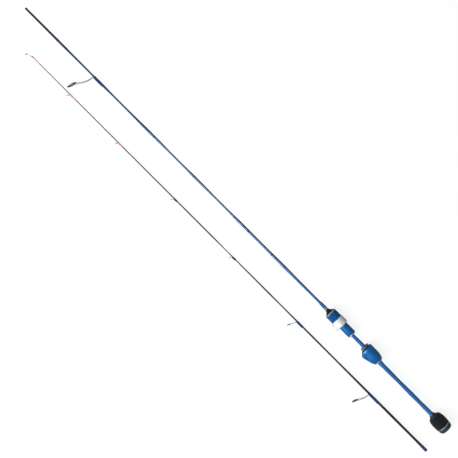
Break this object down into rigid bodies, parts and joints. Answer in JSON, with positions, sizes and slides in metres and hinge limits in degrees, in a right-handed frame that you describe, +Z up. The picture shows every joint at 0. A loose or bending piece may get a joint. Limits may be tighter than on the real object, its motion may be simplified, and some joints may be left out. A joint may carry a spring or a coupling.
{
  "type": "two-piece spinning rod",
  "caption": "Two-piece light fishing rod with a skeleton reel seat, small butt knob and single-foot line guides, its tip section lying beside its butt section.",
  "frame": {"origin": "centre of the butt cap's flat end face, on the butt section's axis", "axes": "+X along the butt section from its cap to its ferrule, +Y towards the guides and the tip section, +Z up off the surface the set lies on"},
  "size_m": [1.122, 0.1045, 0.029],
  "materials": {
    "blue_blank": "gloss paint over carbon",
    "carbon": "satin carbon",
    "blue_thread": "varnished winding",
    "black_thread": "varnished winding",
    "red_thread": "varnished bright winding",
    "silver_thread": "varnished metallic winding",
    "seat_blue": "gloss",
    "nut_blue": "anodised, knurled",
    "hood_silver": "polished",
    "trim_silver": "satin",
    "gunmetal": "dark anodised",
    "black_plastic": "moulded",
    "cap_dark": "gloss",
    "eva_black": "closed-cell foam, matt",
    "guide_steel": "polished wire",
    "guide_ceramic": "polished ceramic"
  },
  "bodies": {
    "butt_section": {"butt_blank": "blue_blank", "ferrule_shoulder_whip": "blue_thread", "front_band": "blue_thread", "front_band_trim": "silver_thread", "rear_band": "black_thread", "fore_whip": "blue_thread", "fore_trim_band": "silver_thread", "fore_check": "black_plastic", "seat_pipe": "seat_blue", "seat_arbor": "black_plastic", "pipe_ring": "trim_silver", "rear_core": "black_plastic", "rear_front_ring": "trim_silver", "rear_hood": "seat_blue", "rear_hood_lip": "seat_blue", "rear_ring": "trim_silver", "rear_check": "blue_thread", "rear_whip": "blue_thread", "butt_whip": "blue_thread", "butt_check": "gunmetal", "butt_grip": "eva_black", "butt_trim_ring": "trim_silver", "butt_cap": "cap_dark", "guide_1_frame": "guide_steel", "guide_1_ring": "guide_ceramic", "guide_1_whip": "blue_thread"},
    "sliding_hood": {"moving_hood": "hood_silver", "hood_liner": "black_plastic"},
    "lock_nut_body": {"lock_nut": "nut_blue", "nut_ring": "trim_silver"},
    "tip_section": {"tip_blank": "carbon", "tip_ferrule_socket": "carbon", "tip_ferrule_whip": "blue_thread", "tip_top_whip": "red_thread", "tip_top_frame": "guide_steel", "tip_top_ring": "guide_ceramic", "guide_2_frame": "guide_steel", "guide_2_ring": "guide_ceramic", "guide_2_whip": "blue_thread", "guide_3_frame": "guide_steel", "guide_3_ring": "guide_ceramic", "guide_3_whip": "blue_thread", "guide_4_frame": "guide_steel", "guide_4_ring": "guide_ceramic", "guide_4_whip": "black_thread", "guide_5_frame": "guide_steel", "guide_5_ring": "guide_ceramic", "guide_5_whip": "black_thread", "guide_6_frame": "guide_steel", "guide_6_ring": "guide_ceramic", "guide_6_whip": "red_thread", "guide_7_frame": "guide_steel", "guide_7_ring": "guide_ceramic", "guide_7_whip": "red_thread"}
  },
  "joints": [
    {"name": "hood_slide", "type": "slide", "parent": "butt_section", "child": "sliding_hood", "axis": [-1, 0, 0], "range_m": [0, 0.0125]},
    {"name": "nut_turn", "type": "hinge", "parent": "sliding_hood", "child": "lock_nut_body", "pos_m": [0.3, 0, 0], "axis": [-1, 0, 0], "range_deg": [0, 1800]},
    {"name": "tip_section_slide", "type": "slide", "parent": "butt_section", "child": "tip_section", "axis": [1, 0, 0], "range_m": [0, 1.04]}
  ],
  "couplings": [
    {"joint": "nut_turn", "follows": "hood_slide", "rad_per_m": 2513.3}
  ]
}
